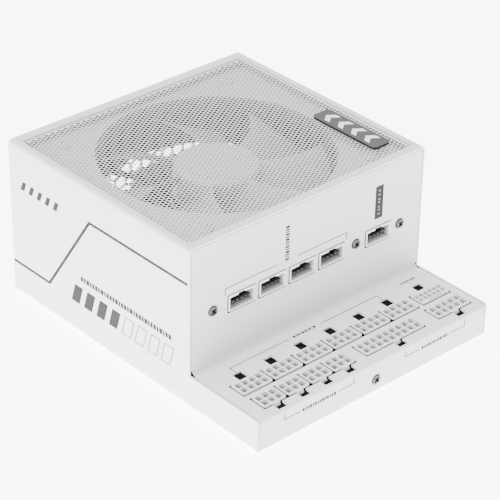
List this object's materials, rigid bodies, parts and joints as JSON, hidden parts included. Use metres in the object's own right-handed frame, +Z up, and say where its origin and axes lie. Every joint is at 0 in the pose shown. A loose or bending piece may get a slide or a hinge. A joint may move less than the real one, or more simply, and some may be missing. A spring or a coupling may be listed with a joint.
{
  "type": "power supply unit",
  "caption": "White stepped ATX power supply unit with a meshed fan on top and modular cable sockets on a low front ledge.",
  "frame": {"origin": "centre of the footprint, on the surface the case stands on", "axes": "+Y to the rear, where the mains inlet is; +Z up, towards the fan mesh; +X to the right as seen from the socket side"},
  "size_m": [0.15, 0.1852, 0.0865],
  "materials": {
    "white_paint": "fine-textured powder coat",
    "mesh_paint": "powder-coated perforated sheet",
    "badge_plate": "satin dark grey",
    "white_plastic": "satin moulded",
    "fan_plastic": "satin moulded",
    "black_plastic": "satin moulded",
    "rocker_plastic": "gloss moulded",
    "screw_steel": "zinc plated",
    "contact_brass": "plated",
    "circuit_board": "solder mask",
    "film": "clear film",
    "aluminium": "extruded",
    "can_sleeve": "shrink sleeve",
    "winding_tape": "polyester tape",
    "copper_wire": "enamelled copper",
    "ferrite": "sintered"
  },
  "bodies": {
    "case": {"badge": "badge_plate", "bottom_plate": "white_paint", "bulk_capacitor_1": "can_sleeve", "bulk_capacitor_2": "can_sleeve", "cover_shell": "white_paint", "emi_choke": "copper_wire", "fan_bearing": "contact_brass", "fan_frame": "fan_plastic", "fan_grille": "mesh_paint", "fan_mount_plate": "white_paint", "fan_screw_1": "screw_steel", "fan_screw_2": "screw_steel", "fan_screw_3": "screw_steel", "fan_screw_4": "screw_steel", "fan_stator": "copper_wire", "front_panel": "white_paint", "header_board": "circuit_board", "header_socket_1": "white_plastic", "header_socket_2": "white_plastic", "header_socket_3": "white_plastic", "header_socket_4": "white_plastic", "header_socket_5": "white_plastic", "inlet_pin_earth": "contact_brass", "inlet_pin_live": "contact_brass", "inlet_pin_neutral": "contact_brass", "insulation_film": "film", "ledge_insulator": "black_plastic", "ledge_screw": "screw_steel", "main_board": "circuit_board", "main_transformer": "winding_tape", "mains_inlet": "black_plastic", "pfc_choke": "copper_wire", "primary_heatsink": "aluminium", "rear_panel": "white_paint", "secondary_heatsink": "aluminium", "socket_10pin": "white_plastic", "socket_12v": "white_plastic", "socket_18pin": "white_plastic", "socket_6pin_1": "white_plastic", "socket_6pin_2": "white_plastic", "socket_6pin_3": "white_plastic", "socket_6pin_4": "white_plastic", "socket_8pin_1": "white_plastic", "socket_8pin_2": "white_plastic", "socket_8pin_3": "white_plastic", "socket_8pin_4": "white_plastic", "socket_8pin_5": "white_plastic", "socket_8pin_6": "white_plastic", "socket_board": "circuit_board", "standby_transformer": "winding_tape", "switch_housing": "black_plastic", "wall_screw_1": "screw_steel", "wall_screw_2": "screw_steel", "wall_screw_3": "screw_steel", "x_capacitor": "white_plastic"},
    "fan": {"fan_rotor": "fan_plastic", "fan_shaft": "screw_steel", "fan_magnet": "ferrite"},
    "rocker": {"switch_rocker": "rocker_plastic"}
  },
  "joints": [
    {"name": "fan_spin", "type": "hinge", "parent": "case", "child": "fan", "pos_m": [0, 0.02355, 0.07], "axis": [0, 0, 1], "continuous": true},
    {"name": "rocker_tilt", "type": "hinge", "parent": "case", "child": "rocker", "pos_m": [0.016, 0.0876, 0.022], "axis": [1, 0, 0], "range_deg": [0, 16]}
  ]
}
